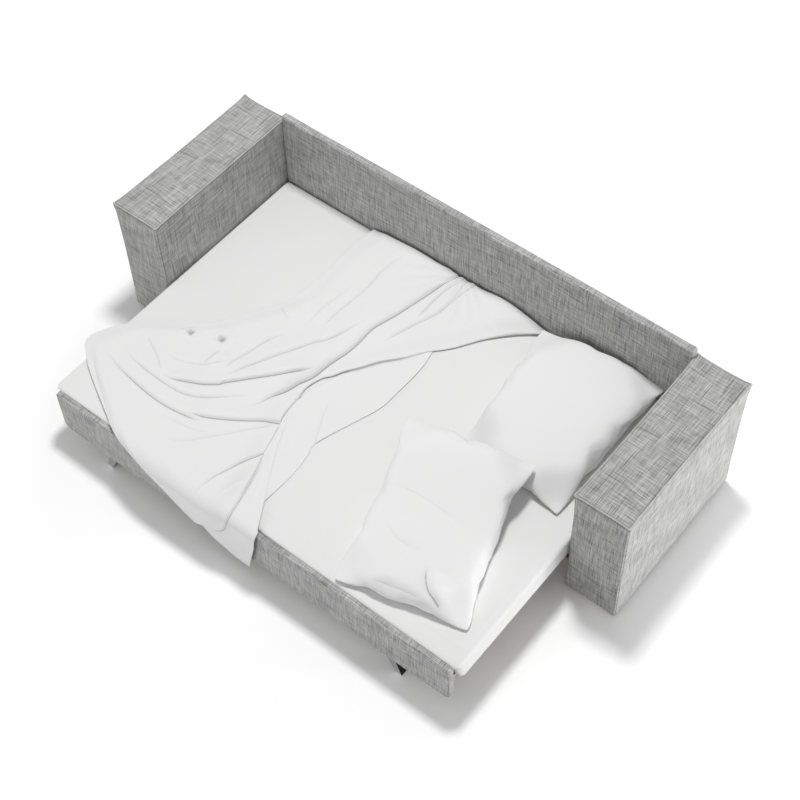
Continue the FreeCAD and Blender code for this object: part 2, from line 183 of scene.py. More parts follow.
# creaseShade and softShade, with the line's width and haze, set the painted shade in the folds.
cottonLook = {
    "tint": {"sheet": (0.800, 0.800, 0.797), "duvet": (0.812, 0.812, 0.810), "pillow": (0.822, 0.822, 0.820)},
    "rumple": {"sheet": (0.06, 0.004), "duvet": (0.12, 0.004), "pillow": (0.10, 0.004)}, "rumpleScale": 26.0,
    "weave": 1400.0 / 6, "weaveBump": (0.10, 0.0004), "toneScale": 5.0, "toneShare": 0.985, "creaseShade": 0.30,
    "softShade": 0.70, "lineWidth": 0.0028, "lineHaze": 0.12, "roughness": 0.88, "sheen": 0.08, "specular": 0.25,
}


def cottonFinish(cloth):
    # A plain white cotton: a fine square weave, a soft rumple, and painted shade down in the folds and creases.
    # The meshes give how far each place is from the nearest crease, so the painted shade of the crease is a line of
    # its own width, 1 - |side| / width.
    look = cottonLook
    tint = look["tint"][cloth]
    material, wire, shader = newFinish(cloth + "Cotton")
    place = wire.ownPlace()
    weave, weft = (wire.join("TexWave", {"wave_type": "BANDS", "bands_direction": way}, Vector=place,
                             Scale=look["weave"]) for way in "XY")
    slow = wire.noise(place, look["rumpleScale"], 3.0, 0.55)
    tone = wire.noise(place, look["toneScale"], 2.0)
    # Painted shade: the crease, line and lineSide marks darken the colour along the folds.
    crease, line, side = (wire.mark(name) for name in ("crease", "line", "lineSide"))
    near = (1.0 - side.maths("ABSOLUTE", side) * (1 / look["lineWidth"])).clamped()
    shade = (crease * look["softShade"] + line * (near * (1 - look["lineHaze"]) + look["lineHaze"])).clamped()
    dark, dull = (tuple(part * look[share] for part in tint) for share in ("creaseShade", "toneShare"))
    soft = wire.bump(look["rumple"][cloth], slow, Normal=wire.bump(look["weaveBump"], weave + weft))
    setShader(wire, shader, Base_Color=shade.blendColour(tone.blendColour(dull, tint), dark), Normal=soft,
              Roughness=look["roughness"], Sheen_Weight=look["sheen"], Specular_IOR_Level=look["specular"])
    return material


woodLook = {
    "birchSlat": {"grain": (160, 5, 60), "detail": 4.0, "fray": 0.60, "grainShare": 0.70, "rings": (14, 0.8, 10),
                  "dark": (0.46, 0.39, 0.29), "pale": (0.70, 0.62, 0.50), "roughness": 0.50, "bump": (0.15, 0.001)},
    "pineTimber": {"grain": (4, 140, 110), "detail": 5.0, "fray": 0.62, "grainShare": 0.55, "bands": (0.8, 22, 22),
                   "dark": (0.36, 0.22, 0.10), "pale": (0.68, 0.50, 0.29), "roughness": 0.62, "bump": (0.25, 0.001)},
}


def woodFinish(name):
    # Stretched noise for the grain. Pale birch has rings from a distorted band wave, and sawn pine, whose grain runs
    # along X, has a few slow bands.
    look = woodLook[name]
    material, wire, shader = newFinish(name)
    place = wire.ownPlace()
    grain = wire.noise(wire.stretched(place, look["grain"]), 1.0, look["detail"], look["fray"])
    if "rings" in look:
        slow = wire.join("TexWave", {"wave_type": "BANDS"}, Vector=wire.stretched(place, look["rings"]), Scale=1.0,
                         Distortion=5.0, Detail=2.0)
    else:
        slow = wire.noise(wire.stretched(place, look["bands"]), 1.0, 2.0)
    level = (grain * look["grainShare"] + slow * (1 - look["grainShare"])).clamped()
    setShader(wire, shader, Base_Color=level.blendColour(look["dark"], look["pale"]), Roughness=look["roughness"],
              Normal=wire.bump(look["bump"], grain))
    return material


brushLook = {"stretch": (30, 30, 900), "smudge": 18.0, "smudgeShare": 0.6}
metalLook = {
    # The chrome's shade colour is a painted dark reflection, laid on the faces turned to the right.
    "polishedChrome": {"bright": (0.56, 0.56, 0.57), "dull": (0.46, 0.46, 0.47), "metallic": 1.0, "roughness": 0.10,
                       "scratches": 0.08, "shade": (0.025, 0.026, 0.028), "shadeFrom": 0.45, "shadeRise": 6.0},
    "greyTube": {"bright": (0.42, 0.42, 0.43), "dull": (0.33, 0.33, 0.34), "metallic": 0.35, "roughness": 0.32,
                 "scratches": 0.12, "bump": (0.04, 0.0003)},
    "zincSteel": {"bright": (0.55, 0.56, 0.58), "dull": (0.40, 0.41, 0.43), "metallic": 0.9, "roughness": 0.30,
                  "scratches": 0.18, "bump": (0.04, 0.0003)},
}


def metalFinish(name):
    # Brushed noise and slow smudges turn the roughness a little, and the smudges the tone. The chrome is smooth,
    # and the faces that are turned to the right get a painted dark reflection in their colour.
    look = metalLook[name]
    material, wire, shader = newFinish(name)
    place = wire.ownPlace()
    brushed = wire.noise(wire.stretched(place, brushLook["stretch"]), 1.0, 2.0)
    smudge = wire.noise(place, brushLook["smudge"], 3.0)
    tone = (smudge * brushLook["smudgeShare"]).blendColour(look["bright"], look["dull"])
    # Painted reflection: the colour goes dark on the faces turned towards +X.
    if "shade" in look:
        right = wire.join("SeparateXYZ", out="X", Vector=wire.join("TexCoord", out="Normal"))
        tone = ((right - look["shadeFrom"]) * look["shadeRise"]).clamped().blendColour(tone, look["shade"])
    if "bump" in look:
        setShader(wire, shader, Normal=wire.bump(look["bump"], brushed))
    setShader(wire, shader, Base_Color=tone, Metallic=look["metallic"],
              Roughness=(brushed + smudge) * look["scratches"] + look["roughness"])
    return material


nylonLook = {"grain": 700.0, "dark": (0.018, 0.018, 0.019), "pale": (0.035, 0.035, 0.037), "roughness": 0.42,
             "roughShare": 0.15, "bump": (0.2, 0.0004)}


def nylonFinish():
    look = nylonLook
    material, wire, shader = newFinish("blackNylon")
    grain = wire.noise(wire.ownPlace(), look["grain"], 2.0)
    setShader(wire, shader, Base_Color=grain.blendColour(look["dark"], look["pale"]),
              Roughness=grain * look["roughShare"] + look["roughness"], Normal=wire.bump(look["bump"], grain))
    return material


finishes = {
    "grey_fabric": linenFinish(),
    "sheet_cotton": cottonFinish("sheet"), "duvet_cotton": cottonFinish("duvet"),
    "pillow_cotton": cottonFinish("pillow"),
    "birch_slat": woodFinish("birchSlat"), "pine_timber": woodFinish("pineTimber"),
    "black_nylon": nylonFinish(), "polished_chrome": metalFinish("polishedChrome"),
    "grey_tube": metalFinish("greyTube"), "zinc_steel": metalFinish("zincSteel"),
}
print("finishes made:", len(finishes))


def newObject(name, data):
    made = bpy.data.objects.new(name, data)
    bpy.context.scene.collection.objects.link(made)
    return made


def setMarks(mesh, marks):
    for name, values in marks.items():
        values = np.asarray(values, np.float32).ravel()
        mesh.attributes.new(name, "FLOAT", "POINT").data.foreach_set("value", values)


def makePiece(name, points, quads, slot, extra=(), uv=None, marks=None):
    # Puts arrays of points, quads and a few larger faces into a new smooth-shaded mesh object.
    mesh = bpy.data.meshes.new(name)
    points = np.asarray(points, np.float32).reshape(-1, 3)
    quads = np.asarray(quads, np.int32).reshape(-1, 4)
    corners = np.concatenate([quads.ravel(), *extra]).astype(np.int32)
    sizes = np.array([4] * len(quads) + [len(face) for face in extra], np.int32)
    starts = np.concatenate([[0], np.cumsum(sizes)[:-1]]).astype(np.int32)
    mesh.vertices.add(len(points))
    mesh.vertices.foreach_set("co", points.ravel())
    mesh.loops.add(len(corners))
    mesh.loops.foreach_set("vertex_index", corners)
    mesh.polygons.add(len(sizes))
    mesh.polygons.foreach_set("loop_start", starts)
    mesh.update(calc_edges=True)
    setMarks(mesh, marks or {})
    if uv is not None:
        mesh.uv_layers.new(name="cloth").data.foreach_set("uv", np.asarray(uv, np.float32).ravel())
    mesh.validate()
    mesh.shade_smooth()
    mesh.materials.append(finishes[slot])
    piece = newObject(name, mesh)
    return piece


def gridQuads(rows, columns, wrap=False):
    # Corner numbers of the quads between the rows and columns of a grid, joined round if wrap is set.
    row, column = np.meshgrid(np.arange(rows - 1), np.arange(columns if wrap else columns - 1), indexing="ij")
    right = (column + 1) % columns
    return np.stack([row * columns + column, row * columns + right, (row + 1) * columns + right,
                     (row + 1) * columns + column], -1).reshape(-1, 4)


def easeIn(value, width):
    # s^2 (3 - 2s) of the share s of the width that the value has reached.
    share = np.clip(value / width, 0, 1) if width else np.ones_like(value)
    return share * share * (3 - 2 * share)


def mergeDoubles(piece, distance=1e-5):
    work = bmesh.new()
    work.from_mesh(piece.data)
    bmesh.ops.remove_doubles(work, verts=work.verts, dist=distance)
    bmesh.ops.dissolve_degenerate(work, edges=work.edges, dist=distance / 2)
    work.to_mesh(piece.data)
    work.free()
    return piece


def roundOutline(halfA, halfB, radii, inset, counts, arcCount):
    # A rectangle with rounded corners, moved in by inset: straight sides of evenly spaced points joined by arcs.
    arcs, points = [], []
    for (sa, sb), radius, first in zip([(1, -1), (1, 1), (-1, 1), (-1, -1)], radii, (-90, 0, 90, 180)):
        keep, room = max(radius - inset, 0.0), max(radius, inset)
        angle = np.radians(np.linspace(first, first + 90, arcCount))
        arcs.append(np.stack([sa * max(halfA - room, 0.0) + keep * np.cos(angle),
                              sb * max(halfB - room, 0.0) + keep * np.sin(angle)], 1))
    for n, arc in enumerate(arcs):
        share = np.linspace(0, 1, counts[n % 2] + 2)[1:-1, None]
        points += [arc, arc[-1] * (1 - share) + arcs[(n + 1) % 4][0] * share]
    return np.concatenate(points)


def wrappedSlab(name, slot, centre, halves, radii, profile, axis, spacing, shape, arcCount=7, cornerSeamPaintedLight=()):
    # Rings of a rounded rectangle carried along a profile of (inset, height, painted seam shade and highlight)
    # from the middle of one face, over the edges, to the middle of the other. axis says which way the height runs.
    # The seams that run up the corners get painted shade and highlight of their own, clear of both faces.
    clearOfFaces = 0.01
    halfA, halfB = halves
    insets, heights, seams = np.array(profile).T
    counts = (max(2, int(2 * halfB / spacing)), max(2, int(2 * halfA / spacing)))
    flat = np.stack([roundOutline(halfA, halfB, radii, inset, counts, arcCount) for inset in insets])
    around = flat.shape[1]
    height, seam = (np.repeat(part[:, None], around, 1) for part in (heights, seams))
    if cornerSeamPaintedLight:
        upright = (insets <= 0) & (heights > clearOfFaces) & (heights < heights[-1] - clearOfFaces)
        firsts = np.cumsum([0] + [arcCount + counts[n % 2] for n in range(3)])
        for part, mark in enumerate(cornerSeamPaintedLight):
            seam[np.ix_(upright, firsts + part)] = mark
    if axis == "z":
        points = np.stack([flat[..., 0], flat[..., 1], height], -1)
    else:
        points = np.stack([flat[..., 0], -height, flat[..., 1]], -1)
    # The flat cloth coordinates: the ring's own length and the height on the sides, the plan on the faces.
    edge = flat[np.argmin(insets)]
    lengths = np.cumsum(np.linalg.norm(np.diff(np.vstack([edge, edge[:1]]), axis=0), axis=1))
    lengths = np.concatenate([[0], lengths])
    quads = gridQuads(len(profile), around, True)
    row, column = quads[:, 0] // around, quads[:, 0] % around
    columns = np.stack([column, column + 1, column + 1, column], 1)
    rows = np.stack([row, row, row + 1, row + 1], 1)
    side = np.stack([lengths[columns], heights[rows]], -1)
    steep = np.abs(heights[row + 1] - heights[row]) > np.abs(insets[row + 1] - insets[row])
    uv = np.where(steep[:, None, None], side, flat[rows, columns % around])
    piece = makePiece(name, shape(points) + np.array(centre), quads, slot, uv=uv, marks={"seam": seam})
    return mergeDoubles(piece)


# Inset and height of a welt's bead in welt sizes, and those of a seam's ridge in metres. The third is the
# painted light on the seam, from -1, painted shade, to 1, painted highlight.
weltBead = [(0.5, -1.6, -0.9), (0.0, -1.0, -0.3), (-0.7, -0.5, 0.6), (-1.0, 0.3, 1.0), (-0.3, 1.0, 1.0),
            (0.7, 1.2, 0.7), (1.3, 0.5, -0.2), (1.8, 0.3, -0.7)]
weltPlaceShare = 0.3
seamRidge = [(0.0, -0.005, 0.0), (0.0022, -0.0015, 0.3), (0.0026, 0.0, 0.5), (0.0, 0.003, 0.2),
             (-0.0006, 0.006, 0.0)]
seamClear = 0.006
bendSteps = 6


def edgeProfile(half, thickness, radius, step, seamAt=None, welt=None, sideStep=None):
    # From the middle of the lower face to the middle of the upper one, with quarter-round edges. A welt is a small
    # bead that stands proud of the edge.
    lower = [(inset, 0.0, 0.0) for inset in np.arange(half, radius, -step)]
    bend = [(radius * (1 - math.sin(a)), radius * (1 - math.cos(a)), 0.0)
            for a in np.linspace(0, math.pi / 2, bendSteps)]
    upper, bendUp = ([(inset, thickness - h, s) for inset, h, s in reversed(part)] for part in (lower, bend))
    if welt:
        place = radius * weltPlaceShare
        bendUp = [(place + welt * a, thickness - place + welt * b, s) for a, b, s in weltBead]
        bendUp = [(0.0, thickness - radius, 0.0)] + bendUp + [(radius, thickness, 0.0)]
    middle = [(0.0, h, 0.0) for h in np.arange(radius, thickness - radius, sideStep or step)[1:]]
    if seamAt:
        middle = [item for item in middle if abs(item[1] - seamAt) > seamClear]
        middle += [(inset, seamAt + h, s) for inset, h, s in seamRidge]
        middle.sort(key=lambda item: item[1])
    return lower + bend + middle + bendUp + upper


coverLook = {"waves": 5, "waveRate": 22, "nearPower": 6, "earPower": 14, "earTopPower": 10, "earRise": 0.5}


def coverShape(halves, height, bow, crown, ripple, seed, ear):
    # Cloth pulled over a box: edges bow in between their corners, faces stand out in the middle, and a few slow
    # sine waves of small height run across it. Where three seams meet at the top, the corner is drawn out.
    look = coverLook
    random = np.random.default_rng(seed)
    waves = random.uniform(-1, 1, (look["waves"], 3)) * look["waveRate"]
    phases = random.uniform(0, 6.28, look["waves"])

    def shape(points):
        s = np.stack([points[..., 0] / halves[0], points[..., 1] / halves[1], 2 * points[..., 2] / height - 1], -1)
        s = s.clip(-1, 1)
        arch = 1 - s ** 2
        near = np.abs(s) ** look["nearPower"]
        out = np.zeros_like(points)
        for n in range(3):
            a, b = (n + 1) % 3, (n + 2) % 3
            pull = arch[..., a] * near[..., b] + arch[..., b] * near[..., a]
            out[..., n] = s[..., n] * (crown[n] * (arch[..., a] * arch[..., b]) - bow[n] * pull)
        wave = sum(np.sin(points @ way + phase) for way, phase in zip(waves, phases)) / look["waves"]
        top = np.clip(s[..., 2], 0, 1) ** look["earTopPower"]
        tip = ear * (np.abs(s[..., 0] * s[..., 1]) ** look["earPower"] * top)[..., None]
        return points + out + ripple * wave[..., None] * s + tip * np.sign(s) * (1, 1, look["earRise"])
    return shape


# The arms' corner seam marks are painted shade and highlight across each corner, from -1, shade, to 1, highlight.
armLook = {"edge": 0.009, "step": 0.014, "bow": (0.0020, 0.0030, 0.0015), "crown": (0.004, 0.004, 0.004),
           "welt": 0.0030, "ripple": 0.0010, "ear": 0.007, "seeds": {"left": 3, "right": 4},
           "cornerSeamPaintedLight": (0, -0.5, 0.3, 0.7, -0.8, -0.3, 0)}
backLook = {"edge": 0.012, "step": 0.014, "bow": (0, 0, 0), "crown": (0, 0.003, 0.002), "ripple": 0.0008, "seed": 9,
            "bandSeam": 0.040}


def boxCover(name, nodes, look, seed):
    # The slip cover of an upright box that reaches from the first node's foot to the last node's top.
    low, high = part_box(nodes[0])
    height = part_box(nodes[-1])[1].z - low.z
    halves = ((high.x - low.x) / 2, (high.y - low.y) / 2)
    centre = ((low.x + high.x) / 2, (low.y + high.y) / 2, low.z)
    seamAt = height - look["bandSeam"] if "bandSeam" in look else None
    profile = edgeProfile(min(halves), height, look["edge"], look["step"], seamAt, look.get("welt"))
    shape = coverShape(halves, height, look["bow"], look["crown"], look["ripple"], seed, look.get("ear", 0.0))
    piece = wrappedSlab(name, "grey_fabric", centre, halves, [look["edge"]] * 4, profile, "z", look["step"], shape,
                        cornerSeamPaintedLight=look.get("cornerSeamPaintedLight", ()))
    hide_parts(*nodes)
    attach(piece, "sofa_body")


railLook = {"lowCorner": 0.030, "highCorner": 0.012, "edge": 0.006, "step": 0.013, "strip": 0.024,
            "grooveWidth": 0.0035, "grooveDepth": 0.0022, "ripple": 0.0012, "rippleRate": 9, "frontRise": 8,
            "frontFrom": 6}


def railCover():
    low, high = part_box("front_rail_cover")
    look = railLook
    halfX, halfZ, depth = (high.x - low.x) / 2, (high.z - low.z) / 2, high.y - low.y
    profile = edgeProfile(halfZ, depth, look["edge"], look["step"])
    radii = [look["lowCorner"], look["highCorner"], look["highCorner"], look["lowCorner"]]

    def shape(points):
        # A seam line runs below the top edge, on the front face, as a shallow groove.
        below = halfZ - look["strip"] - points[..., 2]
        front = np.clip(-points[..., 1] / depth * look["frontRise"] - look["frontFrom"], 0, 1)
        groove = np.exp(-(below / look["grooveWidth"]) ** 2)
        ripple = look["ripple"] * np.cos(points[..., 0] * look["rippleRate"]) * (1 - groove)
        out = points.copy()
        out[..., 1] += front * (look["grooveDepth"] * groove - ripple)
        return out

    centre = ((low.x + high.x) / 2, high.y, (low.z + high.z) / 2)
    piece = wrappedSlab("front_rail_slipcover", "grey_fabric", centre, (halfX, halfZ), radii, profile, "y",
                        look["step"], shape, arcCount=9)
    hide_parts("front_rail_cover")
    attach(piece, "pullout_frame")


for side, seed in armLook["seeds"].items():
    boxCover(side + "_arm_slipcover", [side + "_arm_cover"], armLook, seed)
boxCover("back_slipcover", ["back_panel_cover", "back_top_band"], backLook, backLook["seed"])
railCover()
print("upholstery made")


mattressLook = {
    "edge": 0.016, "foldEdge": 0.005, "foldSpare": 0.003, "foldGap": 0.0006, "foldCorner": 0.004, "corner": 0.020,
    "step": 0.016, "sideStep": 0.008, "crown": 0.008, "crownPowers": (6, 8), "crownRise": 6, "sag": 0.004,
    "sagPower": 8, "fill": 0.9, "tuckBand": 0.06,
    "tuckHeights": [0.0, 0.025, 0.060, 0.0889, 0.0939, 0.125], "tuckOut": [0.0, 0.004, 0.0155, 0.0155, 0.026, 0.022],
}
rearLow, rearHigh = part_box("mattress_rear")
frontLow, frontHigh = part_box("mattress_front")
bedMiddle, bedHalf = (frontLow.y + rearHigh.y) / 2, (rearHigh.y - frontLow.y) / 2
bedTop = max(rearHigh.z, frontHigh.z)
foldY = (rearLow.y + frontHigh.y) / 2


def bedCrown(x, y):
    # The whole bed is one low dome, highest in the middle and level with the mattress edge all round.
    sx, sy = np.clip(np.abs(x) / rearHigh.x, 0, 1), np.clip(np.abs(y - bedMiddle) / bedHalf, 0, 1)
    powerX, powerY = mattressLook["crownPowers"]
    return mattressLook["crown"] * (1 - sx ** powerX) * (1 - sy ** powerY)


def mattressHalf(name, node, body, low, high, front):
    # A foam half with rounded edges, a crowned top and sides that pull in between the corners. It is made longer
    # towards the fold and cut off square there. At the rail the sheet fills the gap and lips over the top edge.
    look = mattressLook
    reach = look["edge"] - look["foldEdge"] + look["foldSpare"]
    first, last = (low.y, high.y + reach) if front else (low.y - reach, high.y)
    thickness = high.z - low.z - look["crown"]
    centre = np.array(((low.x + high.x) / 2, (first + last) / 2, low.z))
    halves = ((high.x - low.x) / 2, (last - first) / 2)
    profile = edgeProfile(halves[1], thickness, look["edge"], look["step"], sideStep=look["sideStep"])
    corner, fold = look["corner"], look["foldCorner"]
    radii = [corner, fold, fold, corner] if front else [fold, corner, corner, fold]

    def shape(points):
        x, y, z = (points[..., n] + centre[n] for n in range(3))
        share = np.clip((z - low.z) / thickness, 0, 1)
        waist = np.sin(share * np.pi) * look["sag"]
        x = x - np.sign(x) * (np.abs(x) / high.x) ** look["sagPower"] * waist
        if front:
            out = np.interp(z - low.z, look["tuckHeights"], look["tuckOut"])
            y = y - out * easeIn(low.y + look["tuckBand"] - y, look["tuckBand"])
            y = np.minimum(y, foldY - look["foldGap"])
        else:
            y = np.maximum(y, foldY + look["foldGap"])
        z = z + bedCrown(x, y) * share ** look["crownRise"]
        return np.stack([x, y, z], -1) - centre

    piece = wrappedSlab(name, "sheet_cotton", centre, halves, radii, profile, "z", look["step"], shape)
    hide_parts(node)
    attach(piece, body)


mattressHalf("mattress_rear_half", "mattress_rear", "sofa_body", rearLow, rearHigh, False)
mattressHalf("mattress_front_half_pad", "mattress_front", "mattress_front_half", frontLow, frontHigh, True)

sheetLook = {"half": 0.984, "front": -0.628, "rear": 0.690, "lift": 0.0008, "border": 0.012, "sink": 0.0030,
             "step": 0.012, "foldStep": 0.003, "foldBand": 0.030}


def bedSheet():
    # The fitted sheet over both halves: a grid a hair above the bed's dome whose borders sink into the mattress.
    look = sheetLook
    band = look["foldBand"]
    y = np.concatenate([np.arange(look["front"], foldY - band, look["step"]),
                        np.arange(foldY - band, foldY + band, look["foldStep"]),
                        np.arange(foldY + band, look["rear"], look["step"])])
    x, y = np.meshgrid(np.arange(-look["half"], look["half"] + 0.001, look["step"]), y)
    inside = np.minimum(np.minimum(x - x.min(), x.max() - x), np.minimum(y - y.min(), y.max() - y))
    lift = look["lift"] - look["sink"] * (1 - easeIn(inside, look["border"]))
    z = bedTop - mattressLook["crown"] + bedCrown(x, y) + lift
    piece = makePiece("fitted_sheet_top", np.stack([x, y, z], -1), gridQuads(*x.shape), "sheet_cotton")
    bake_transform(piece)


bedSheet()
print("mattress and sheet made")


# Places on the bed are (x, t): t is y on the mattress, and runs on down in front of the rail. A path or an outline
# is a list of x, t, x, t and so on, in millimetres. A slow wave is: rate along x, rate along t, phase, height.
duvetLook = {
    "brow": -0.677, "bend": 0.045, "hang": 1.04, "gap": 0.001, "rearGap": 0.0045, "gapFrom": -0.35,
    "step": 0.0039, "rim": 0.007, "rimShade": 0.25, "shadeBelow": 0.6, "shadeFade": 0.3, "thinReach": 0.090,
    "leastWidth": 0.004, "rimMost": 0.45, "outlinePieces": 6, "fill": 0.3, "blendFrom": 0.561, "blendTo": -0.639,
    "dimpleRing": 0.45, "dimpleRay": 0.35, "dimplePit": 1.6,
    "rimIn": [0.55, 0.12, 0.0, 0.10, 0.35, 1.0], "rimUp": [0.12, 0.28, 0.52, 0.76, 0.92, 1.0],
    "slowWaves": [(5.1, 3.2, 0.0, 1.0), (-3.7, 7.9, 1.3, 1.0), (11.3, 9.1, 0.4, 0.6)],
}
foldLook = {"crest": 0.50, "riseTimes": 0.98, "lowRise": 0.30, "lowReach": 1.6, "notchWidth": 0.0045,
            "notchTimes": 0.30, "lineReach": 0.009, "creaseShadeFull": 0.014, "creaseShadePower": 1.3}


def smoothPath(path, pieces=5):
    # A curve through the points: each span is the cubic that leaves and reaches its ends along their neighbours.
    p = np.array(path).reshape(-1, 2) / 1000
    p = np.vstack([2 * p[0] - p[1], p, 2 * p[-1] - p[-2]])
    s = np.linspace(0, 1, pieces, endpoint=False)[:, None]
    spans = [0.5 * (2 * b + (c - a) * s + (2 * a - 5 * b + 4 * c - d) * s ** 2 + (3 * b - a - 3 * c + d) * s ** 3)
             for a, b, c, d in zip(p[:-3], p[1:-2], p[2:-1], p[3:])]
    return np.vstack(spans + [p[-2:-1]])


def nearPath(x, t, path):
    # For each place: its distance from the curve, which side it is on (left is positive) and how far along it is.
    curve = smoothPath(path)
    lengths = np.linalg.norm(np.diff(curve, axis=0), axis=1)
    best = np.full(x.shape, np.inf)
    side, along = np.zeros(x.shape), np.zeros(x.shape)
    run = 0.0
    for (ax, at), (bx, bt), length in zip(curve[:-1], curve[1:], lengths):
        ux, ut = (bx - ax) / length, (bt - at) / length
        s = np.clip((x - ax) * ux + (t - at) * ut, 0, length)
        dx, dt = x - ax - s * ux, t - at - s * ut
        away = dx * dx + dt * dt
        nearer = away < best
        best = np.where(nearer, away, best)
        side = np.where(nearer, np.sign(ux * (t - at) - ut * (x - ax)), side)
        along = np.where(nearer, (run + s) / lengths.sum(), along)
        run += length
    return np.sqrt(best), side, along


def foldHeights(x, t, folds, wide=1.0):
    # Across a fold, with s the distance from its crease: on the high side the cloth stands up as (s/r) e^(1 - s/r),
    # a steep wall with a round crest at r and a long soft fall. The low side has the same form, wider and lower,
    # and the crease itself is a narrow notch. The fold fades in and out along its path. Also gives how much painted
    # shade the nearest crease gets and the signed distance from it.
    look = foldLook
    height, line, lineSide = (np.zeros(x.shape) for _ in range(3))
    for path, high, rise, reach, groove, fadeIn, fadeOut in folds:
        rise, reach, groove = rise / 1000, reach / 1000, groove / 1000
        away, side, along = nearPath(x, t, path)
        fade = easeIn(along, fadeIn) * easeIn(1 - along, fadeOut)
        signed = away * side * high
        crest = reach * look["crest"]
        up = np.clip(signed, 0, None) / crest
        down = np.clip(-signed, 0, None) / (crest * look["lowReach"])
        roll = up * np.exp(1 - up) + look["lowRise"] * down * np.exp(1 - down)
        notch = np.exp(-(signed / look["notchWidth"] / wide) ** 2)
        height += fade * (rise * look["riseTimes"] * roll - groove * look["notchTimes"] * notch)
        # Painted shade along the crease, darker where the groove is deeper.
        dark = fade * min(1.0, groove / look["creaseShadeFull"]) ** look["creaseShadePower"]
        dark = dark * np.exp(-(away / look["lineReach"]) ** 2)
        lineSide = np.where(dark > line, signed / wide, lineSide)
        line = np.maximum(dark, line)
    return height, line, lineSide


def bedGap(t):
    # The air under the bedding. It grows to the rear, where the folded half stands a few millimetres higher when
    # the sofa is shut, as it stops 0.4 degrees short of level.
    look = duvetLook
    return look["gap"] + look["rearGap"] * np.clip((t - look["gapFrom"]) / (rearHigh.y - look["gapFrom"]), 0, 1)


def drape(x, t, lift):
    # Lays the flat duvet over the bed: level on the mattress, round a quarter circle at the brow of the rail, then
    # straight down its face. lift is measured outwards from that surface.
    brow, bend = duvetLook["brow"], duvetLook["bend"]
    over = np.clip(brow - t, 0, None)
    turn = np.clip(over / bend, 0, math.pi / 2)
    drop = np.clip(over - bend * math.pi / 2, 0, None) * duvetLook["hang"]
    y = np.maximum(t, brow) - (bend + lift) * np.sin(turn)
    z = bedTop - bend + (bend + lift) * np.cos(turn) - drop
    return np.stack([x, y, z], -1)


def looseForms(x, t, layer):
    # The smaller forms of a layer. A tuft's dimple is a pit with a ring and a few rays round it, and painted
    # shade in the pit, a swell is a broad e^(-d^2) hill, and pleats run out from one place, where the cloth is
    # gathered.
    look = duvetLook
    height, crease = np.zeros(x.shape), np.zeros(x.shape)
    for (cx, ct), depth, size, rays in layer.get("dimples", ()):
        away = np.hypot(x - cx, t - ct) / size
        ring, pit = np.exp(-(away - 2) ** 2), np.exp(-away ** 2)
        ray = np.cos(rays * np.arctan2(t - ct, x - cx) + away) * np.exp(-(away - 1.8) ** 2 / 2)
        height += depth * (look["dimpleRing"] * ring + look["dimpleRay"] * ray - look["dimplePit"] * pit)
        # Painted shade in the dimple's pit.
        crease += pit
    for (cx, ct), (reachX, reachT), high in layer.get("swells", ()):
        height += high * np.exp(-((x - cx) / reachX) ** 2 - ((t - ct) / reachT) ** 2)
    for (cx, ct), count, depth, reach, still, twist in layer.get("pleats", ()):
        away = np.hypot(x - cx, t - ct)
        angle = np.arctan2(t - ct, x - cx)
        height += depth * np.cos(angle * count + twist * away) * easeIn(away, still) * np.exp(-(away / reach) ** 2)
    slow = sum(high * np.sin(a * x + b * t + phase) for a, b, phase, high in look["slowWaves"])
    return height + layer["swell"] * slow, crease


